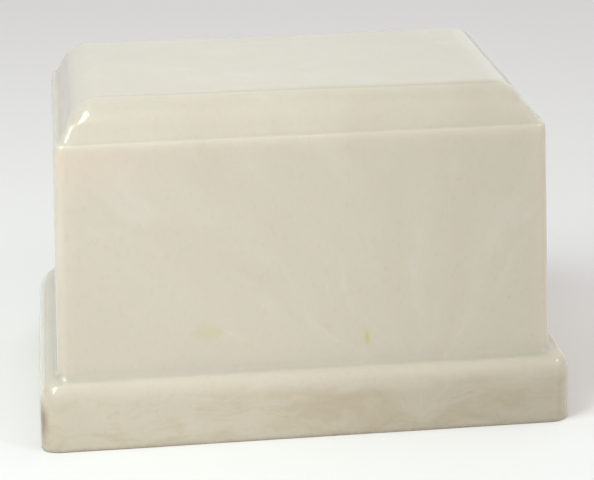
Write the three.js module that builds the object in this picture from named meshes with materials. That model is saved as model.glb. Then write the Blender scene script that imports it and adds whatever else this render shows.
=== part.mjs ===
// Rectangular cremation urn, cast in one piece in cream cultured marble, with a closing plate below.
// Millimetres, Z up. The origin is the middle of the footprint, on the surface that the urn stands on.
// X runs along the front, which faces -Y.
// An inset is a distance in from the upright sides of a box as wide and deep as the plinth.

import * as THREE from 'three';

// Overall size
const plinthWidth = 250;
const plinthDepth = 173;
const urnHeight = 160;

// Plinth: a nearly upright face, a soft edge that is taller than it is deep, and what is left of a ledge
const footChamfer = 0.8;
const plinthFaceTop = 19.8;
const plinthDraft = 0.021;
const plinthEdgeIn = 6;
const plinthEdgeUp = 12.3;
const plinthLedgeRise = 0.7;
const plinthCorner = 10.3;

// Walls, which lean in towards the top
const wallFootInset = 9.2;
const wallFilletIn = 2.3;
const wallFilletUp = 3.6;
const wallDraft = 0.0305;
const filletCorner = 5.8;
const wallCorner = 4.8;

// Shoulder: the walls' soft top edge and the narrow ledge behind it
const shoulderEdgeIn = 1.9;
const shoulderEdgeUp = 8.8;
const shoulderLedgeWidth = 3.7;
const shoulderLedgeRise = 1.8;
const shoulderCorner = 4;

// Quarter-round moulding up to the flat top: an ellipse's quarter, with a wide cove at its foot
const mouldingIn = 17.7;
const mouldingUp = 17.4;
const mouldingStart = 2.3;
const coveUp = 5.5;
const mouldingCorner = 3.4;
const panelCorner = 1.4;

// Half-way up the moulding the corners are rounder, most of all at the front
const frontSwell = 5.2;
const backSwell = 1;
const swellSkew = 0.42;

// Inside of the casting
const wallThickness = 11;
const topThickness = 12;
const cavityCorner = 8;
const cavityTopRound = 20;

// Closing plate, in a rebate in the underside
const rimWidth = 9.7;
const rebateCorner = 5;
const plateThickness = 6;
const plateRecess = 1.5;
const plateSideGap = 0.5;
const plateTopGap = 0.3;
const plateBevel = 0.6;

// How finely the curves are cut into flats
const cornerSteps = 6;
const edgeSteps = 6;
const filletSteps = 4;
const coveSteps = 6;
const mouldingSteps = 9;
const roundSteps = 6;

// The softness of the plinth's and the shoulder's edges: 2 is an ellipse, and more is squarer
const plinthSquareness = 2.2;
const shoulderSquareness = 2.1;

// A quarter of a rounded edge, from the face below it to the ledge above it
class SoftEdge extends THREE.Curve {
  constructor(start, inward, upward, squareness) {
    super();
    this.start = start;
    this.inward = inward;
    this.upward = upward;
    this.power = 2 / squareness;
  }

  getPoint(t, target = new THREE.Vector2()) {
    const turn = (t * Math.PI) / 2;
    const along = Math.pow(Math.cos(turn), this.power);
    const up = Math.pow(Math.sin(turn), this.power);
    return target.set(this.start.x + this.inward * (1 - along), this.start.y + this.upward * up);
  }
}

// Profile points are (inset, height) pairs
const point = (inset, height) => new THREE.Vector2(inset, height);

// The walls' outer faces, at one height
const plinthHeight = plinthFaceTop + plinthEdgeUp + plinthLedgeRise;
const wallInset = (height) => wallFootInset + wallDraft * (height - plinthHeight);

// One stretch of the profile, with the plan's corner radius at its start and at its end
function stretch(curve, steps, cornerFrom, cornerTo) {
  const points = curve.getPoints(steps);
  return points.map((place, i) => ({
    inset: place.x,
    height: place.y,
    corner: THREE.MathUtils.lerp(cornerFrom, cornerTo, i / steps),
    swell: 0,
  }));
}

// The same, with the corners' extra rounding from nothing up to its full share and back to nothing
const swollen = (levels) =>
  levels.map((level, i) => {
    const along = Math.pow(i / (levels.length - 1), swellSkew);
    return { ...level, swell: Math.pow(Math.sin(Math.PI * along), 2) };
  });

// A straight stretch has one step
const straight = (from, to, cornerFrom, cornerTo) =>
  stretch(new THREE.LineCurve(from, to), 1, cornerFrom, cornerTo);

// The outside, from the underside's outer edge up to the edge of the flat top
function outsideLevels() {
  const footOuter = point(0, footChamfer);
  const footInner = point(footChamfer, 0);
  const faceTop = point(plinthFaceTop * plinthDraft, plinthFaceTop);
  const plinthEdge = new SoftEdge(faceTop, plinthEdgeIn, plinthEdgeUp, plinthSquareness);
  const plinthEdgeTop = plinthEdge.getPoint(1);

  const wallMeetsLedge = point(wallFootInset, plinthHeight);
  const ledgeWidth = wallFootInset - plinthEdgeTop.x;
  const ledgeEnd = wallMeetsLedge.clone().lerp(plinthEdgeTop, wallFilletIn / ledgeWidth);
  const wallFootHeight = plinthHeight + wallFilletUp;
  const wallFoot = point(wallInset(wallFootHeight), wallFootHeight);
  const plinthFillet = new THREE.QuadraticBezierCurve(ledgeEnd, wallMeetsLedge, wallFoot);

  const mouldingFootHeight = urnHeight - (mouldingUp - mouldingStart);
  const wallTopHeight = mouldingFootHeight - shoulderLedgeRise - shoulderEdgeUp;
  const wallTop = point(wallInset(wallTopHeight), wallTopHeight);
  const shoulderEdge = new SoftEdge(wallTop, shoulderEdgeIn, shoulderEdgeUp, shoulderSquareness);
  const shoulderEdgeTop = shoulderEdge.getPoint(1);

  // The moulding's ellipse is measured from its centre, which lies under the edge of the flat top
  const startAngle = Math.asin(mouldingStart / mouldingUp);
  const mouldingFoot = point(shoulderEdgeTop.x + shoulderLedgeWidth, mouldingFootHeight);
  const centreInset = mouldingFoot.x + mouldingIn * Math.cos(startAngle);
  const centreHeight = urnHeight - mouldingUp;
  const coveAngle = Math.asin((mouldingStart + coveUp) / mouldingUp);
  const moulding = new THREE.EllipseCurve(
    centreInset,
    centreHeight,
    mouldingIn,
    mouldingUp,
    Math.PI - coveAngle,
    Math.PI / 2,
    true,
  );

  // The cove turns where the ledge's line meets the line that the moulding starts along
  const ledge = point(shoulderLedgeWidth, shoulderLedgeRise);
  const coveEnd = moulding.getPoint(0);
  const slope = moulding.getTangent(0);
  const drop = coveEnd.clone().sub(shoulderEdgeTop).cross(ledge) / slope.cross(ledge);
  const coveTurn = coveEnd.clone().addScaledVector(slope, -drop);
  const cove = new THREE.QuadraticBezierCurve(shoulderEdgeTop, coveTurn, coveEnd);

  return [
    ...straight(footInner, footOuter, plinthCorner - footChamfer, plinthCorner),
    ...straight(footOuter, faceTop, plinthCorner, plinthCorner),
    ...stretch(plinthEdge, edgeSteps, plinthCorner, plinthCorner - plinthEdgeIn),
    ...straight(plinthEdgeTop, ledgeEnd, plinthCorner - plinthEdgeIn, filletCorner),
    ...stretch(plinthFillet, filletSteps, filletCorner, wallCorner),
    ...straight(wallFoot, wallTop, wallCorner, wallCorner),
    ...stretch(shoulderEdge, edgeSteps, wallCorner, shoulderCorner),
    ...stretch(cove, coveSteps, shoulderCorner, mouldingCorner),
    ...swollen(stretch(moulding, mouldingSteps, mouldingCorner, panelCorner)),
  ];
}

// The inside, from the edge of the flat ceiling down to the underside's inner edge
function insideLevels() {
  const seatHeight = plateRecess + plateThickness + plateTopGap;
  const ceiling = urnHeight - topThickness;
  const roundFoot = ceiling - cavityTopRound;
  const wallTop = point(wallInset(roundFoot) + wallThickness, roundFoot);
  const wallBottom = point(wallInset(seatHeight) + wallThickness, seatHeight);
  const seatEdge = point(rimWidth, seatHeight);
  const rimInner = point(rimWidth, 0);
  const roundCentre = point(wallTop.x + cavityTopRound, roundFoot);
  const topRound = new THREE.EllipseCurve(
    roundCentre.x,
    roundCentre.y,
    cavityTopRound,
    cavityTopRound,
    Math.PI / 2,
    Math.PI,
    false,
  );
  return [
    ...stretch(topRound, roundSteps, cavityCorner, cavityCorner),
    ...straight(wallTop, wallBottom, cavityCorner, cavityCorner),
    ...straight(wallBottom, seatEdge, cavityCorner, rebateCorner),
    ...straight(seatEdge, rimInner, rebateCorner, rebateCorner),
  ];
}

// The outline in plan at one level: a rounded rectangle, anticlockwise seen from above
function ringAt(level) {
  const corners = [
    [1, -1],
    [1, 1],
    [-1, 1],
    [-1, -1],
  ];
  return corners.flatMap(([sideX, sideY], corner) => {
    const firstTurn = ((corner - 1) * Math.PI) / 2;
    const radius = level.corner + level.swell * (sideY < 0 ? frontSwell : backSwell);
    const arc = new THREE.EllipseCurve(
      sideX * (plinthWidth / 2 - level.inset - radius),
      sideY * (plinthDepth / 2 - level.inset - radius),
      radius,
      radius,
      firstTurn,
      firstTurn + Math.PI / 2,
      false,
    );
    return arc.getPoints(cornerSteps).map((place) => new THREE.Vector3(place.x, place.y, level.height));
  });
}

// Levels that follow each other at one place are kept once
function withoutRepeats(levels) {
  const near = 1e-6;
  return levels.filter((level, i) => {
    const before = levels[i - 1];
    return !before || Math.hypot(level.inset - before.inset, level.height - before.height) > near;
  });
}

// A closed skin through the levels, which run from a flat top down the outside and up into the hollow
function skinThrough(levels) {
  const rings = levels.map(ringAt);
  const ringLength = rings[0].length;
  const vertices = rings.flat();
  const triangles = [];
  for (let ring = 0; ring < rings.length - 1; ring += 1) {
    for (let i = 0; i < ringLength; i += 1) {
      const next = (i + 1) % ringLength;
      const upper = ring * ringLength;
      const lower = upper + ringLength;
      triangles.push(upper + i, lower + i, lower + next);
      triangles.push(upper + i, lower + next, upper + next);
    }
  }

  const topCentre = vertices.length;
  vertices.push(new THREE.Vector3(0, 0, levels[0].height));
  const ceilingCentre = vertices.length;
  vertices.push(new THREE.Vector3(0, 0, levels.at(-1).height));
  const lastRing = (rings.length - 1) * ringLength;
  for (let i = 0; i < ringLength; i += 1) {
    const next = (i + 1) % ringLength;
    triangles.push(topCentre, i, next);
    triangles.push(ceilingCentre, lastRing + next, lastRing + i);
  }

  const geometry = new THREE.BufferGeometry().setFromPoints(vertices);
  geometry.setIndex(triangles);
  geometry.computeVertexNormals();
  return geometry;
}

function castingGeometry() {
  const downTheOutside = outsideLevels().reverse();
  const upTheInside = insideLevels().reverse();
  return skinThrough(withoutRepeats([...downTheOutside, ...upTheInside]));
}

function plateGeometry() {
  const halfX = plinthWidth / 2 - rimWidth - plateSideGap - plateBevel;
  const halfY = plinthDepth / 2 - rimWidth - plateSideGap - plateBevel;
  const corner = rebateCorner - plateSideGap - plateBevel;
  const outline = new THREE.Shape();
  outline.absarc(halfX - corner, halfY - corner, corner, 0, Math.PI / 2, false);
  outline.absarc(corner - halfX, halfY - corner, corner, Math.PI / 2, Math.PI, false);
  outline.absarc(corner - halfX, corner - halfY, corner, Math.PI, 1.5 * Math.PI, false);
  outline.absarc(halfX - corner, corner - halfY, corner, 1.5 * Math.PI, 2 * Math.PI, false);
  return new THREE.ExtrudeGeometry(outline, {
    depth: plateThickness - 2 * plateBevel,
    bevelThickness: plateBevel,
    bevelSize: plateBevel,
    bevelSegments: 1,
    curveSegments: cornerSteps,
  });
}

const castMarble = new THREE.MeshStandardMaterial({ color: '#d5cebd', roughness: 0.25, metalness: 0 });
const plainMarble = new THREE.MeshStandardMaterial({ color: '#cdc6b4', roughness: 0.5, metalness: 0 });

const casting = new THREE.Mesh(castingGeometry(), castMarble);
casting.name = 'urn_body';

const plate = new THREE.Mesh(plateGeometry(), plainMarble);
plate.name = 'bottom_plate';
plate.position.z = plateRecess + plateBevel;

const urn = new THREE.Group();
urn.add(casting, plate);

export default urn;
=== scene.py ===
import math
import bmesh
import bpy
from mathutils import Matrix, Vector, noise


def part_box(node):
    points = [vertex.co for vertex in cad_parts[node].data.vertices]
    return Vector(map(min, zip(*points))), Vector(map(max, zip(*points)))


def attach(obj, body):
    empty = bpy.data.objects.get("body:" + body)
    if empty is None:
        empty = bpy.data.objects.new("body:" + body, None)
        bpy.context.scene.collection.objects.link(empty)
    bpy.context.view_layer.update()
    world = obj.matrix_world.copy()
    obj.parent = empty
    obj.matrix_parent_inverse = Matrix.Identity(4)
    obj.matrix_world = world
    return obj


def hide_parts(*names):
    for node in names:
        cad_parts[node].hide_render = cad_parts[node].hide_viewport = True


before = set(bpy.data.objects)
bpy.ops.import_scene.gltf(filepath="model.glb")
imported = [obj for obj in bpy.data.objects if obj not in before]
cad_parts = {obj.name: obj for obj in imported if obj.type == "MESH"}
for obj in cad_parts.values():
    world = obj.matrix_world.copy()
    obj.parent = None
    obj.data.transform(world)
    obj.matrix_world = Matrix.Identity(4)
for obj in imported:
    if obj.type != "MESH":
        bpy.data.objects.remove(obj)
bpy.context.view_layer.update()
scene = bpy.context.scene
mm = 0.001  # the pieces are modelled in millimetres and scaled at the end
weld = 0.001  # closer than this, in mm, is the same place
softBelow = math.radians(40)  # edges that turn less than this are shaded smooth
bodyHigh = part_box("urn_body")[1]
plateLow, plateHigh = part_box("bottom_plate")
print("frame loaded")


# A level is one closed outline round the casting: how far it lies inside the base's outline,
# its height, and the radius of its front corners and of its back corners.
def level(inset, height, corner):
    return (inset, height, corner, corner)


def between(start, end, share):
    return tuple(a + (b - a) * share for a, b in zip(start, end))


def straightRun(start, end, steps):
    return [between(start, end, step / steps) for step in range(1, steps + 1)]


def curvedRun(start, middle, end, steps):
    run = []
    for step in range(1, steps + 1):
        share = step / steps
        run.append(between(between(start, middle, share), between(middle, end, share), share))
    return run


def softEdge(start, inward, upward, corner, squareness, steps):
    # a quarter turn that is a circle's at a squareness of 2 and fuller above it
    run = []
    for step in range(1, steps + 1):
        angle = 0.5 * math.pi * step / steps
        inset = start[0] + inward * (1 - max(0, math.cos(angle)) ** (2 / squareness))
        height = start[1] + upward * math.sin(angle) ** (2 / squareness)
        radius = start[2] + (corner - start[2]) * step / steps
        run.append(level(inset, height, radius))
    return run


def startLoop(bm, half, first, segments):
    # a flat sheet with rounded corners, of which only the outline is kept
    inset, height, radius = first[:3]
    flat = bmesh.ops.create_grid(bm, x_segments=1, y_segments=1, size=1)["verts"]
    bmesh.ops.scale(bm, vec=(half[0] - inset, half[1] - inset, 1), verts=flat)
    bmesh.ops.translate(bm, vec=(0, 0, height), verts=flat)
    bmesh.ops.bevel(bm, geom=flat, offset=radius, segments=segments, profile=0.5,
                    affect="VERTICES", material=-1)
    sheet = [face for face in bm.faces if len(face.verts) > 4 * segments]
    bmesh.ops.delete(bm, geom=sheet, context="FACES_ONLY")
    return [edge for edge in bm.edges if edge.is_wire]


def cornerCentre(half, outline, signX, signY):
    inset, _, frontCorner, backCorner = outline
    radius = frontCorner if signY < 0 else backCorner
    return signX * (half[0] - inset - radius), signY * (half[1] - inset - radius), radius


def nextLevel(bm, loop, half, old, new):
    # each corner is scaled about its own centre and moved, so the straight sides stay straight
    made = bmesh.ops.extrude_edge_only(bm, edges=loop)["geom"]
    fresh = [item for item in made if isinstance(item, bmesh.types.BMVert)]
    for signX in (-1, 1):
        for signY in (-1, 1):
            oldX, oldY, oldRadius = cornerCentre(half, old, signX, signY)
            newX, newY, newRadius = cornerCentre(half, new, signX, signY)
            grown = newRadius / oldRadius
            corner = [vert for vert in fresh if vert.co.x * signX > 0 and vert.co.y * signY > 0]
            about = Matrix.Translation((-oldX, -oldY, -old[1]))
            bmesh.ops.scale(bm, vec=(grown, grown, 1), space=about, verts=corner)
            bmesh.ops.translate(bm, vec=(newX - oldX, newY - oldY, new[1] - old[1]), verts=corner)
    return [item for item in made if isinstance(item, bmesh.types.BMEdge)]


def cutSpans(bm, before, axis, cuts):
    # the long spans are the edges that cross the middle
    fresh = [edge for edge in bm.edges if edge.verts[0] not in before]
    spans = [edge for edge in fresh if edge.verts[0].co[axis] * edge.verts[1].co[axis] < 0]
    bmesh.ops.subdivide_edges(bm, edges=spans, cuts=cuts)


def closeOver(bm, before, height):
    # the last outline is drawn in to the middle line and merged there
    rim = [edge for edge in bm.edges if edge.is_boundary and edge.verts[0] not in before
           and all(abs(vert.co.z - height) < weld for vert in edge.verts)]
    made = bmesh.ops.extrude_edge_only(bm, edges=rim)["geom"]
    middle = [item for item in made if isinstance(item, bmesh.types.BMVert)]
    bmesh.ops.scale(bm, vec=(1, 0, 1), verts=middle)
    bmesh.ops.remove_doubles(bm, verts=middle, dist=weld)


def addSkin(bm, half, levels, cuts):
    before = set(bm.verts)
    loop = startLoop(bm, half, levels[0], cuts["corner"])
    for old, new in zip(levels, levels[1:]):
        loop = nextLevel(bm, loop, half, old, new)
    cutSpans(bm, before, 0, cuts["along"])
    cutSpans(bm, before, 1, cuts["across"])
    closeOver(bm, before, levels[-1][1])
    return [vert for vert in bm.verts if vert not in before]


def shade(bm):
    for face in bm.faces:
        face.smooth = True
    for edge in bm.edges:
        edge.smooth = edge.calc_face_angle(0) < softBelow


def addPiece(bm, name):
    shade(bm)
    bmesh.ops.scale(bm, vec=(mm, mm, mm), verts=bm.verts)
    mesh = bpy.data.meshes.new(name)
    bm.to_mesh(mesh)
    bm.free()
    piece = bpy.data.objects.new(name, mesh)
    scene.collection.objects.link(piece)
    return piece


casting = {
    # plinth
    "footChamfer": 0.8, "footTurn": 0.2, "plinthFaceTop": 19.8, "plinthDraft": 0.021,
    "plinthEdgeIn": 6, "plinthEdgeUp": 12.3, "plinthSquareness": 2.2, "plinthLedgeRise": 0.7,
    "plinthCorner": 10.3, "plinthTopCorner": 4.3,
    # wall and the fillet at its foot
    "wallFootInset": 9.2, "wallFilletIn": 2.3, "wallFilletUp": 3.6, "wallDraft": 0.0305,
    "filletCorner": 5.8, "wallCorner": 4.8,
    # shoulder, its ledge and the cove
    "shoulderEdgeIn": 1.9, "shoulderEdgeUp": 8.8, "shoulderSquareness": 2.1,
    "shoulderLedgeWidth": 3.7, "shoulderLedgeRise": 1.8, "shoulderCorner": 4, "coveUp": 5.5,
    # moulding, with corners that swell half-way up
    "mouldingIn": 17.7, "mouldingUp": 17.4, "mouldingStart": 2.3, "mouldingCorner": 3.4,
    "frontSwell": 5.2, "backSwell": 1, "swellSkew": 0.42,
    # flat top: how far in each of its outlines lies, and how its corners sharpen on the way
    "topInsets": (0.4, 0.9, 1.6, 2.6, 4.2, 7, 12, 17, 22, 27, 32, 37, 42, 47),
    "panelCorner": 1.4, "panelSharpening": 0.4, "sharpestCorner": 0.4,
    # hollow: the last line gives the inset and corner of each outline on the ceiling
    "rimWidth": 9.7, "rebateDepth": 7.8, "rebateCorner": 5, "wallThickness": 11,
    "cavityCorner": 8, "cavityTopRound": 20, "topThickness": 12,
    "ceilingLevels": ((12, 5), (24, 3), (33, 1)),
    # steps in each stretch of the outline, and cuts round it
    "steps": {"foot": 4, "plinthFace": 5, "plinthEdge": 16, "ledge": 1, "fillet": 12, "wall": 14,
              "shoulderEdge": 14, "cove": 14, "moulding": 40, "rebate": 2, "cavityWall": 8,
              "cavityRound": 10},
    "cuts": {"corner": 12, "along": 26, "across": 18},
    # slow and fine waviness: height, how often it comes and where its pattern starts
    "wave": (0.16, 0.022, (3.1, 7.4, 1.2)), "ripple": (0.05, 0.06, (9.5, 2.2, 4.8)),
    "flatBelow": 0.1,  # the rim stays flat on the ground
    # crease along the front edge of the flat top
    "creaseFromMiddle": 53.9, "creaseSlant": 0.0184, "creaseWidth": 1.8, "creaseDepth": 0.35,
    "creaseHalfLength": 97, "creaseFadePower": 6, "creaseBelowTop": 2,
    # soft local moves where the casting sagged, shrank or came out a little full
    "sinks": (
        {"centre": (0, 48, 160), "reach": (80, 26, 14), "move": (0, 0, -0.7)},
        {"centre": (-114, 70, 55), "reach": (20, 70, 44), "move": (1, 0, 0)},
        {"centre": (-123, 78, 30), "reach": (10, 26, 7), "move": (1, 0, -1)},
        {"centre": (121, -45, 31), "reach": (10, 60, 7), "move": (0.9, 0, 0.8)},
        {"centre": (-109, 66, 143), "reach": (14, 40, 7), "move": (0.15, 0, -1)},
        {"centre": (111, -66, 142.5), "reach": (10, 26, 4), "move": (0.45, 0, 0.3)},
        {"centre": (100, -58, 152), "reach": (13, 30, 7), "move": (-0.7, 0, -0.2)},
        {"centre": (-122, -84, 1), "reach": (8, 10, 14), "move": (-0.9, -0.5, 0)},
    ),
}
castingSteps = casting["steps"]
plinthHeight = casting["plinthFaceTop"] + casting["plinthEdgeUp"] + casting["plinthLedgeRise"]


def wallInset(height):
    return casting["wallFootInset"] + casting["wallDraft"] * (height - plinthHeight)


# the outline outside, from the foot up to the middle of the flat top
def plinthLevels():
    chamfer = casting["footChamfer"]
    turn = casting["footTurn"]
    foot = level(chamfer, 0, casting["plinthCorner"] - chamfer)
    footMiddle = level(turn, turn, casting["plinthCorner"] - turn)
    faceStart = level(0, chamfer, casting["plinthCorner"])
    faceTop = level(casting["plinthDraft"] * casting["plinthFaceTop"], casting["plinthFaceTop"],
                    casting["plinthCorner"])
    levels = [foot]
    levels += curvedRun(foot, footMiddle, faceStart, castingSteps["foot"])
    levels += straightRun(faceStart, faceTop, castingSteps["plinthFace"])
    levels += softEdge(faceTop, casting["plinthEdgeIn"], casting["plinthEdgeUp"],
                       casting["plinthTopCorner"], casting["plinthSquareness"],
                       castingSteps["plinthEdge"])
    return levels


def wallLevels(plinthEdge, top):
    ledgeWidth = casting["wallFootInset"] - plinthEdge[0]
    ledgeShare = 1 - casting["wallFilletIn"] / ledgeWidth
    ledgeEnd = level(plinthEdge[0] + ledgeWidth * ledgeShare,
                     plinthEdge[1] + casting["plinthLedgeRise"] * ledgeShare, casting["filletCorner"])
    filletMiddle = level(casting["wallFootInset"], plinthHeight,
                         0.5 * (casting["filletCorner"] + casting["wallCorner"]))
    footHeight = plinthHeight + casting["wallFilletUp"]
    wallFoot = level(wallInset(footHeight), footHeight, casting["wallCorner"])
    shoulderTop = top - casting["mouldingUp"] + casting["mouldingStart"] - casting["shoulderLedgeRise"]
    wallTopHeight = shoulderTop - casting["shoulderEdgeUp"]
    wallTop = level(wallInset(wallTopHeight), wallTopHeight, casting["wallCorner"])
    levels = straightRun(plinthEdge, ledgeEnd, castingSteps["ledge"])
    levels += curvedRun(ledgeEnd, filletMiddle, wallFoot, castingSteps["fillet"])
    levels += straightRun(wallFoot, wallTop, castingSteps["wall"])
    levels += softEdge(wallTop, casting["shoulderEdgeIn"], casting["shoulderEdgeUp"],
                       casting["shoulderCorner"], casting["shoulderSquareness"],
                       castingSteps["shoulderEdge"])
    return levels


def mouldingLevels(shoulder, top):
    width = casting["mouldingIn"]
    rise = casting["mouldingUp"]
    footAngle = math.asin(casting["mouldingStart"] / rise)
    startAngle = math.asin((casting["mouldingStart"] + casting["coveUp"]) / rise)
    centreInset = shoulder[0] + casting["shoulderLedgeWidth"] + width * math.cos(footAngle)
    centreHeight = top - rise
    coveEnd = level(centreInset - width * math.cos(startAngle),
                    centreHeight + rise * math.sin(startAngle), casting["mouldingCorner"])
    # the cove turns where the ledge's line meets the line that the moulding starts along
    ledge = Vector((casting["shoulderLedgeWidth"], casting["shoulderLedgeRise"]))
    slope = Vector((width * math.sin(startAngle), rise * math.cos(startAngle)))
    across = Vector((coveEnd[0] - shoulder[0], coveEnd[1] - shoulder[1]))
    back = across.cross(ledge) / slope.cross(ledge)
    coveTurn = level(coveEnd[0] - slope.x * back, coveEnd[1] - slope.y * back,
                     casting["mouldingCorner"])
    levels = curvedRun(shoulder, coveTurn, coveEnd, castingSteps["cove"])
    for step in range(1, castingSteps["moulding"] + 1):
        share = step / castingSteps["moulding"]
        angle = startAngle + (0.5 * math.pi - startAngle) * share
        swell = math.sin(math.pi * share ** casting["swellSkew"]) ** 2
        corner = casting["mouldingCorner"] * (1 - share) + casting["panelCorner"] * share
        levels.append((centreInset - width * math.cos(angle), centreHeight + rise * math.sin(angle),
                       corner + casting["frontSwell"] * swell, corner + casting["backSwell"] * swell))
    for inward in casting["topInsets"]:
        corner = casting["panelCorner"] - casting["panelSharpening"] * inward
        corner = max(casting["sharpestCorner"], corner)
        levels.append(level(centreInset + inward, top, corner))
    return levels


def outsideLevels(top):
    levels = plinthLevels()
    levels += wallLevels(levels[-1], top)
    levels += mouldingLevels(levels[-1], top)
    return levels


# the hollow, from the rim up to the middle of its ceiling
def insideLevels(top):
    ceiling = top - casting["topThickness"]
    roundStart = ceiling - casting["cavityTopRound"]
    corner = casting["cavityCorner"]
    rim = level(casting["rimWidth"], 0, casting["rebateCorner"])
    rebate = level(casting["rimWidth"], casting["rebateDepth"], casting["rebateCorner"])
    cavityFoot = level(wallInset(casting["rebateDepth"]) + casting["wallThickness"],
                       casting["rebateDepth"], corner)
    cavityWall = level(wallInset(roundStart) + casting["wallThickness"], roundStart, corner)
    levels = [rim]
    levels += straightRun(rim, rebate, castingSteps["rebate"])
    levels += straightRun(rebate, cavityFoot, castingSteps["rebate"])
    levels += straightRun(cavityFoot, cavityWall, castingSteps["cavityWall"])
    levels += softEdge(cavityWall, casting["cavityTopRound"], casting["cavityTopRound"], corner, 2,
                       castingSteps["cavityRound"])
    roundEnd = levels[-1][0]
    for inward, ceilingCorner in casting["ceilingLevels"]:
        levels.append(level(roundEnd + inward, ceiling, ceilingCorner))
    return levels


def waviness(place, wave):
    height, often, start = wave
    return height * noise.noise(place * often + Vector(start))


def creaseDepth(place, top):
    if place.z <= top - casting["creaseBelowTop"] or place.y >= 0:
        return 0
    creaseLine = -casting["creaseFromMiddle"] - casting["creaseSlant"] * place.x
    off = (place.y - creaseLine) / casting["creaseWidth"]
    ends = max(0, 1 - (abs(place.x) / casting["creaseHalfLength"]) ** casting["creaseFadePower"])
    return casting["creaseDepth"] * math.exp(-off * off) * ends


def roughen(verts, top):
    for vert in verts:
        place = vert.co.copy()
        if place.z < casting["flatBelow"]:
            continue
        move = waviness(place, casting["wave"]) + waviness(place, casting["ripple"])
        move -= creaseDepth(place, top)
        vert.co = place + vert.normal * move
        for sink in casting["sinks"]:
            away = [(a - b) / c for a, b, c in zip(place, sink["centre"], sink["reach"])]
            share = max(0, 1 - Vector(away).length)
            vert.co += Vector(sink["move"]) * (share * share * (3 - 2 * share))


def castingShape():
    half = (bodyHigh.x / mm, bodyHigh.y / mm)
    top = bodyHigh.z / mm
    bm = bmesh.new()
    outside = addSkin(bm, half, outsideLevels(top), casting["cuts"])
    bmesh.ops.recalc_face_normals(bm, faces=bm.faces)
    bm.normal_update()
    roughen(outside, top)
    addSkin(bm, half, insideLevels(top), casting["cuts"])
    openRims = [edge for edge in bm.edges if edge.is_boundary]
    bmesh.ops.bridge_loops(bm, edges=openRims)
    bmesh.ops.recalc_face_normals(bm, faces=bm.faces)
    return bm


urnCasting = addPiece(castingShape(), "urnCasting")
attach(urnCasting, "root")
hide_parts("urn_body")
print("casting made")

# flat plate that closes the hollow from below, in mm
plate = {"corner": 4.5, "cornerSteps": 8, "edge": 0.6, "edgeSteps": 3, "sharpAbove": 1.4}


def plateShape():
    bm = bmesh.new()
    flat = bmesh.ops.create_grid(bm, x_segments=1, y_segments=1, size=1)["verts"]
    bmesh.ops.scale(bm, vec=(plateHigh.x / mm, plateHigh.y / mm, 1), verts=flat)
    bmesh.ops.translate(bm, vec=(0, 0, plateLow.z / mm), verts=flat)
    bmesh.ops.bevel(bm, geom=flat, offset=plate["corner"], segments=plate["cornerSteps"],
                    profile=0.5, affect="VERTICES", material=-1)
    lifted = bmesh.ops.extrude_face_region(bm, geom=bm.faces[:])["geom"]
    lifted = [item for item in lifted if isinstance(item, bmesh.types.BMVert)]
    bmesh.ops.translate(bm, vec=(0, 0, (plateHigh.z - plateLow.z) / mm), verts=lifted)
    bmesh.ops.recalc_face_normals(bm, faces=bm.faces)
    rims = [edge for edge in bm.edges if edge.calc_face_angle(0) > plate["sharpAbove"]]
    bmesh.ops.bevel(bm, geom=rims, offset=plate["edge"], segments=plate["edgeSteps"],
                    profile=0.5, affect="EDGES", material=-1)
    return bm


closingPlate = addPiece(plateShape(), "closingPlate")
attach(closingPlate, "root")
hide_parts("bottom_plate")
print("plate made")


def addNode(tree, kind, values=None, **settings):
    made = tree.nodes.new("ShaderNode" + kind)
    for name, value in settings.items():
        setattr(made, name, value)
    for name, value in (values or {}).items():
        if isinstance(value, bpy.types.NodeSocket):
            tree.links.new(value, made.inputs[name])
        else:
            made.inputs[name].default_value = value
    return made


def newMaterial(name):
    material = bpy.data.materials.new(name)
    material.use_nodes = True
    tree = material.node_tree
    return material, tree, tree.nodes["Principled BSDF"]


def inMillimetres(tree):
    metres = addNode(tree, "TexCoord").outputs["Object"]
    perMetre = (1 / mm, 1 / mm, 1 / mm)
    return addNode(tree, "Mapping", {"Vector": metres, "Scale": perMetre}).outputs[0]


def blendColour(tree, under, over, amount, how="MIX"):
    mixer = addNode(tree, "Mix", {0: amount, 6: under, 7: over}, data_type="RGBA", blend_type=how)
    return mixer.outputs[2]


def tintColour(tree, under, tint, amount):
    return blendColour(tree, under, tint, amount, "MULTIPLY")


def calculate(tree, operation, first, second):
    return addNode(tree, "Math", {0: first, 1: second}, operation=operation).outputs[0]


def bendPlace(tree, place, warp, strength):
    bend = addNode(tree, "VectorMath", {0: warp, "Scale": strength}, operation="SCALE").outputs[0]
    return addNode(tree, "VectorMath", {0: place, 1: bend}, operation="ADD").outputs[0]


def rampOver(tree, value, low, high, start=0.0, end=1.0):
    limits = {"Value": value, "From Min": low, "From Max": high, "To Min": start, "To Max": end}
    return addNode(tree, "MapRange", limits, interpolation_type="SMOOTHSTEP").outputs[0]


def cloud(tree, place, size, detail=2.0, roughness=0.5, turn=(0, 0, 0), stretch=(1, 1, 1),
          shift=(0, 0, 0)):
    turned = addNode(tree, "Mapping", {"Vector": place, "Rotation": turn, "Location": shift})
    share = [1 / (size * along) for along in stretch]
    scaled = addNode(tree, "Mapping", {"Vector": turned.outputs[0], "Scale": share})
    made = addNode(tree, "TexNoise", {"Vector": scaled.outputs[0], "Scale": 1.0, "Detail": detail,
                                      "Roughness": roughness, "Distortion": 0.0})
    return made.outputs[0]


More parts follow.
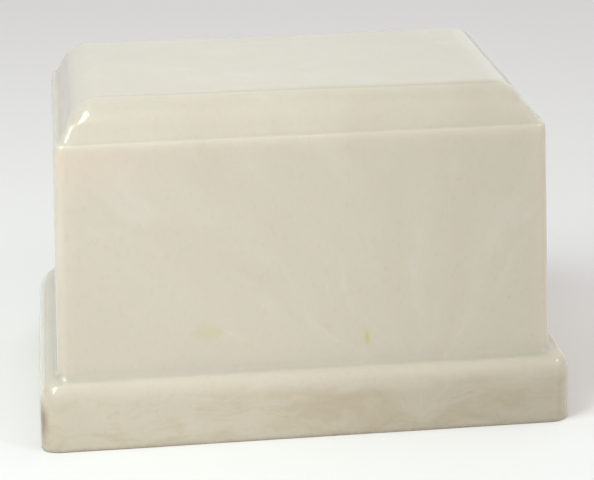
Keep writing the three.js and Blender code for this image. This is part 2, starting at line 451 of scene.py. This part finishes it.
def spot(tree, place, centre, reach, core, turn):
    # 1 inside an ellipsoid, soft to 0 at its edge
    home = [-value for value in centre]
    share = [1 / value for value in reach]
    moved = addNode(tree, "Mapping", {"Vector": place, "Location": home}).outputs[0]
    turned = addNode(tree, "Mapping", {"Vector": moved, "Rotation": (0, turn, 0)}).outputs[0]
    scaled = addNode(tree, "Mapping", {"Vector": turned, "Scale": share}).outputs[0]
    away = addNode(tree, "VectorMath", {0: scaled}, operation="LENGTH").outputs["Value"]
    return rampOver(tree, away, core, 1.0, 1.0, 0.0)


castMarble = {
    "deep": (0.636, 0.588, 0.476, 1), "base": (0.652, 0.606, 0.496, 1),
    "pale": (0.676, 0.632, 0.526, 1), "streak": (0.70, 0.662, 0.57, 1),
    # what the colour is multiplied by in each place: grain, smear and foot dirt are real; the crease,
    # the plinth and its right end get painted shade, and the right end of the front gets painted shade
    # with a little real yellow tone
    "grain": (0.955, 0.95, 0.94, 1), "creaseShade": (0.92, 0.915, 0.905, 1),
    "right": (0.87, 0.87, 0.845, 1), "plinth": (0.95, 0.93, 0.90, 1),
    "plinthRight": (0.88, 0.87, 0.86, 1), "smear": (0.90, 0.86, 0.78, 1),
    "footDirt": (0.78, 0.71, 0.62, 1),
    # where the streaks fan out from, and the length of pattern in one radian round it
    "pourX": 53.0, "pourZ": 12.0, "fanTurn": 70.0,
    # how fine the noise is that bends the streaks, how far it does, and how ragged it makes marks
    "warpScale": 0.03, "bend": 26, "ragged": 7,
    # where each begins and where it is full: heights of the plinth's painted shade and smear, the top,
    # the dirt at the foot and the ground rim, X of the tone and painted shade on the right, and
    # distance from the crease
    "plinthFrom": (31.0, 18.0), "topFrom": (157.0, 158.5), "dirtFrom": (2.4, 0.2),
    "rimFrom": (0.9, 0.3), "rightFrom": (-60.0, 125.0), "creaseEdge": (0.3, 1.5),
    # finish
    "roughness": (0.30, 0.40), "groundRoughness": 0.6, "ripple": 0.04, "rippleDepth": 0.001,
    "coat": 1, "coatRoughness": 0.045,
    "scatter": 0.8, "scatterDepth": 0.008, "scatterColours": (1, 0.88, 0.72),
}

# marks on the casting: place and reach in mm, what the colour is multiplied by, how much of the
# reach is at full strength, and how far the mark leans, in radians
marks = (
    {"at": (-46.5, -76.6, 52.6), "reach": (9.5, 12, 6.2), "tint": (0.945, 0.968, 0.83, 1),
     "core": 0.15},
    {"at": (-41, -76.6, 52.6), "reach": (2.8, 12, 2.2), "tint": (1, 0.95, 0.86, 1), "core": 0.1},
    {"at": (-35.4, -76.7, 50.6), "reach": (11.5, 12, 0.9), "tint": (1.02, 1.03, 1.06, 1),
     "core": 0.3, "turn": -0.62},
    {"at": (-26.6, -76.9, 44.2), "reach": (4, 12, 3), "tint": (1, 0.99, 0.95, 1), "core": 0.2},
    {"at": (27.8, -76.9, 45.6), "reach": (1.5, 12, 5.6), "tint": (0.95, 0.89, 0.62, 1),
     "core": 0.2, "turn": 0.1},
    {"at": (27.8, -76.9, 45), "reach": (4, 12, 9), "tint": (0.995, 0.98, 0.89, 1), "core": 0.1},
    {"at": (10, -76.6, 52), "reach": (5, 12, 4), "tint": (1, 0.965, 0.95, 1), "core": 0.1},
    {"at": (71.4, -74.6, 119.2), "reach": (1.3, 8, 1.3), "tint": (0.92, 0.92, 0.92, 1), "core": 0.2},
    {"at": (96, -76.4, 60.8), "reach": (1.3, 8, 1.3), "tint": (0.92, 0.92, 0.92, 1), "core": 0.2},
    # a dark brown patch low on the plinth's left side, near the front corner
    {"at": (-127, -78, 14), "reach": (8, 11, 17), "tint": (0.42, 0.30, 0.21, 1), "core": 0.35},
    # painted reflection: a slightly darker, warmer band down the plinth's front right corner
    {"at": (118.6, -86.3, 13), "reach": (2, 5, 18), "tint": (0.95, 0.92, 0.90, 1), "core": 0.3},
    # painted light: the top left of the front wall, under the shoulder, is made lighter
    {"at": (-100, -80, 132), "reach": (60, 14, 16), "tint": (1.07, 1.02, 1.02, 1), "core": 0.2},
)


def pouredColour(tree, place, bent, wide, grain):
    # the resin was poured in streaks that fan out from a place low on the front
    parts = addNode(tree, "SeparateXYZ", {0: bent}).outputs
    fanX = calculate(tree, "SUBTRACT", parts["X"], castMarble["pourX"])
    fanZ = calculate(tree, "SUBTRACT", parts["Z"], castMarble["pourZ"])
    turn = calculate(tree, "ARCTAN2", fanX, fanZ)
    turn = calculate(tree, "MULTIPLY", turn, castMarble["fanTurn"])
    flat = addNode(tree, "CombineXYZ", {"X": fanX, "Y": parts["Y"], "Z": fanZ}).outputs[0]
    reach = addNode(tree, "VectorMath", {0: flat}, operation="LENGTH").outputs["Value"]
    fan = addNode(tree, "CombineXYZ", {"X": turn, "Y": parts["Y"], "Z": reach}).outputs[0]
    broad = rampOver(tree, cloud(tree, fan, 17, stretch=(1, 2.2, 5)), 0.25, 0.75)
    colour = blendColour(tree, castMarble["deep"], castMarble["pale"], broad)
    settled = rampOver(tree, wide, 0.35, 0.65, 0.1, 0.8)
    colour = blendColour(tree, colour, castMarble["base"], settled)
    thin = cloud(tree, fan, 9, detail=3, stretch=(0.8, 2, 9), shift=(31, 0, 0))
    thin = rampOver(tree, thin, 0.46, 0.78, 0.0, 0.85)
    patches = rampOver(tree, cloud(tree, place, 34, shift=(31, 7, 12)), 0.4, 0.66, 0.15, 0.9)
    colour = blendColour(tree, colour, castMarble["streak"],
                         calculate(tree, "MULTIPLY", thin, patches))
    return tintColour(tree, colour, castMarble["grain"], rampOver(tree, grain, 0.5, 0.8))


def paintedCreaseShade(tree, colour, parts):
    # painted shade: the crease along the front edge of the flat top is darkened in colour, on top of
    # its real dip
    slant = calculate(tree, "MULTIPLY", parts["X"], casting["creaseSlant"])
    slanted = calculate(tree, "ADD", slant, parts["Y"])
    off = calculate(tree, "ADD", slanted, casting["creaseFromMiddle"])
    off = calculate(tree, "ABSOLUTE", off, 0.0)
    near = rampOver(tree, off, *castMarble["creaseEdge"], 1.0, 0.0)
    onTop = rampOver(tree, parts["Z"], *castMarble["topFrom"])
    return tintColour(tree, colour, castMarble["creaseShade"], calculate(tree, "MULTIPLY", near, onTop))


def wideTintsAndShade(tree, colour, parts, bent):
    # the front is darker and a little yellower towards the right, partly its own tone and partly
    # painted shade for light that falls off to the right, and the plinth is darker with painted shade,
    # most of all at its right end
    right = rampOver(tree, parts["X"], *castMarble["rightFrom"])
    low = rampOver(tree, parts["Z"], *castMarble["plinthFrom"])
    colour = tintColour(tree, colour, castMarble["right"], right)
    # painted shade on the plinth, deepest at its right end
    colour = tintColour(tree, colour, castMarble["plinth"], low)
    colour = tintColour(tree, colour, castMarble["plinthRight"],
                        calculate(tree, "MULTIPLY", low, right))
    smear = cloud(tree, bent, 9, detail=3, roughness=0.55, stretch=(4.5, 1, 0.8), shift=(9, 3, 1))
    smear = calculate(tree, "MULTIPLY", rampOver(tree, smear, 0.42, 0.68), low)
    return tintColour(tree, colour, castMarble["smear"], smear)


def stainsDirtAndPaintedLight(tree, colour, ragged, parts, grain):
    # most marks are real stains and specks; one is a painted reflection and one is painted light
    for mark in marks:
        mask = spot(tree, ragged, mark["at"], mark["reach"], mark["core"], mark.get("turn", 0.0))
        colour = tintColour(tree, colour, mark["tint"], mask)
    foot = rampOver(tree, parts["Z"], *castMarble["dirtFrom"])
    foot = calculate(tree, "MULTIPLY", foot, rampOver(tree, grain, 0.3, 0.6, 0.5, 1.0))
    return tintColour(tree, colour, castMarble["footDirt"], foot)


def castMarbleMaterial():
    material, tree, shader = newMaterial("castMarble")
    place = inMillimetres(tree)
    parts = addNode(tree, "SeparateXYZ", {0: place}).outputs
    warp = addNode(tree, "TexNoise", {"Vector": place, "Scale": castMarble["warpScale"],
                                      "Detail": 4.0}).outputs["Color"]
    middle = (0.5, 0.5, 0.5)
    warp = addNode(tree, "VectorMath", {0: warp, 1: middle}, operation="SUBTRACT").outputs[0]
    bent = bendPlace(tree, place, warp, castMarble["bend"])
    ragged = bendPlace(tree, place, warp, castMarble["ragged"])
    wide = cloud(tree, place, 55, detail=3)
    grain = cloud(tree, place, 2.4, detail=3, roughness=0.6, stretch=(1, 1, 1.6))
    colour = pouredColour(tree, place, bent, wide, grain)
    colour = paintedCreaseShade(tree, colour, parts)
    colour = wideTintsAndShade(tree, colour, parts, bent)
    colour = stainsDirtAndPaintedLight(tree, colour, ragged, parts, grain)
    tree.links.new(colour, shader.inputs["Base Color"])
    # the walls are polished, and the rim below is ground
    polished = rampOver(tree, wide, 0.3, 0.7, *castMarble["roughness"])
    ground = rampOver(tree, parts["Z"], *castMarble["rimFrom"])
    rough = addNode(tree, "Mix", {0: ground, 2: polished, 3: castMarble["groundRoughness"]},
                    data_type="FLOAT").outputs[0]
    tree.links.new(rough, shader.inputs["Roughness"])
    bump = addNode(tree, "Bump", {"Height": cloud(tree, place, 9, detail=1),
                                  "Strength": castMarble["ripple"],
                                  "Distance": castMarble["rippleDepth"]})
    tree.links.new(bump.outputs[0], shader.inputs["Normal"])
    shader.inputs["Coat Weight"].default_value = castMarble["coat"]
    shader.inputs["Coat Roughness"].default_value = castMarble["coatRoughness"]
    shader.inputs["Subsurface Weight"].default_value = castMarble["scatter"]
    shader.inputs["Subsurface Scale"].default_value = castMarble["scatterDepth"]
    shader.inputs["Subsurface Radius"].default_value = castMarble["scatterColours"]
    return material


plainMarble = {
    "deep": (0.585, 0.54, 0.435, 1), "pale": (0.625, 0.582, 0.475, 1),
    "rubbed": (0.95, 0.94, 0.92, 1), "roughness": (0.45, 0.6),
}


def plainMarbleMaterial():
    material, tree, shader = newMaterial("plainMarble")
    place = inMillimetres(tree)
    wide = rampOver(tree, cloud(tree, place, 50, detail=3), 0.3, 0.7)
    colour = blendColour(tree, plainMarble["deep"], plainMarble["pale"], wide)
    rubbed = cloud(tree, place, 8, detail=4, roughness=0.6, stretch=(6, 1, 1), turn=(0, 0, 0.5))
    colour = tintColour(tree, colour, plainMarble["rubbed"], rampOver(tree, rubbed, 0.5, 0.7))
    tree.links.new(colour, shader.inputs["Base Color"])
    rough = rampOver(tree, rubbed, 0.3, 0.7, *plainMarble["roughness"])
    tree.links.new(rough, shader.inputs["Roughness"])
    return material


urnCasting.data.materials.append(castMarbleMaterial())
closingPlate.data.materials.append(plainMarbleMaterial())
print("materials made")

paleFloor = {"halfSize": 3, "colour": (0.93, 0.92, 0.90, 1), "roughness": 0.9, "specular": 0}


def addFloor():
    bm = bmesh.new()
    bmesh.ops.create_grid(bm, x_segments=1, y_segments=1, size=paleFloor["halfSize"])
    mesh = bpy.data.meshes.new("floor")
    bm.to_mesh(mesh)
    bm.free()
    material, _, shader = newMaterial("floorPaint")
    shader.inputs["Base Color"].default_value = paleFloor["colour"]
    shader.inputs["Roughness"].default_value = paleFloor["roughness"]
    shader.inputs["Specular IOR Level"].default_value = paleFloor["specular"]
    mesh.materials.append(material)
    made = bpy.data.objects.new("floor", mesh)
    scene.collection.objects.link(made)
    return made


floor = addFloor()
print("floor made")

# soft studio light: which way each share comes from, and its strength in red, green and blue
studio = (
    ((0, 1, 0), (0.74, 0.73, 0.70)),
    ((0, -1, 0), (0.75, 0.735, 0.755)),
    ((1, 0, 0), (0.60, 0.59, 0.58)),
    ((0, 0, 1), (0.26, 0.25, 0.27)),
)
# lamps: degrees round from the front and up, distance, width and height in metres, watts
lamps = (
    {"name": "windowLight", "azimuth": -42, "elevation": 33, "distance": 0.85, "width": 0.06,
     "height": 0.45, "power": 0.9, "colour": (1, 0.96, 0.92), "upright": True},
    {"name": "sideLight", "azimuth": 50, "elevation": 36, "distance": 1.1, "width": 0.14,
     "height": 0.3, "power": 1.1, "colour": (1, 1, 1), "upright": False},
    {"name": "skyLight", "azimuth": -57, "elevation": 55, "distance": 1.0, "width": 0.45,
     "height": 0.6, "power": 4.9, "colour": (0.85, 0.98, 0.97), "upright": False},
)
lampTarget = Vector((0, 0, 0.09))


def lightStudio():
    world = bpy.data.worlds.new("studio")
    scene.world = world
    world.use_nodes = True
    tree = world.node_tree
    direction = addNode(tree, "TexCoord").outputs["Generated"]
    light = None
    for side, strength in studio:
        facing = addNode(tree, "VectorMath", {0: direction, 1: side}, operation="DOT_PRODUCT")
        share = addNode(tree, "Clamp", {0: facing.outputs["Value"]}).outputs[0]
        part = addNode(tree, "VectorMath", {0: strength, "Scale": share}, operation="SCALE").outputs[0]
        light = addNode(tree, "VectorMath", {0: light, 1: part}).outputs[0] if light else part
    tree.links.new(light, tree.nodes["Background"].inputs["Color"])


def addLamp(values):
    lamp = bpy.data.lights.new(values["name"], "AREA")
    lamp.shape = "RECTANGLE"
    lamp.size = values["width"]
    lamp.size_y = values["height"]
    lamp.energy = values["power"]
    lamp.color = values["colour"]
    holder = bpy.data.objects.new(values["name"], lamp)
    scene.collection.objects.link(holder)
    side = math.radians(values["azimuth"])
    rise = math.radians(values["elevation"])
    away = Vector((math.sin(side) * math.cos(rise), -math.cos(side) * math.cos(rise), math.sin(rise)))
    holder.location = lampTarget + away * values["distance"]
    facing = Vector((-away.x, -away.y, 0 if values["upright"] else -away.z))
    holder.rotation_euler = facing.to_track_quat("-Z", "Y").to_euler()


lightStudio()
for lampValues in lamps:
    addLamp(lampValues)
scene.view_settings.view_transform = "Standard"
print("light set")

viewing = {
    "lens": 123.56, "sensorWidth": 36, "place": (-0.10402, -0.95176, 0.39566), "pitchDown": 0.3296,
    "turn": -0.1150, "roll": -0.0152, "shiftX": -0.0034, "shiftY": 0.0005,
}


def addCamera():
    lens = bpy.data.cameras.new("camera")
    lens.lens = viewing["lens"]
    lens.sensor_width = viewing["sensorWidth"]
    lens.shift_x = viewing["shiftX"]
    lens.shift_y = viewing["shiftY"]
    made = bpy.data.objects.new("camera", lens)
    scene.collection.objects.link(made)
    made.matrix_world = (Matrix.Translation(viewing["place"])
                         @ Matrix.Rotation(viewing["turn"], 4, "Z")
                         @ Matrix.Rotation(math.pi / 2 - viewing["pitchDown"], 4, "X")
                         @ Matrix.Rotation(viewing["roll"], 4, "Z"))
    return made


scene.camera = addCamera()
print("camera placed")
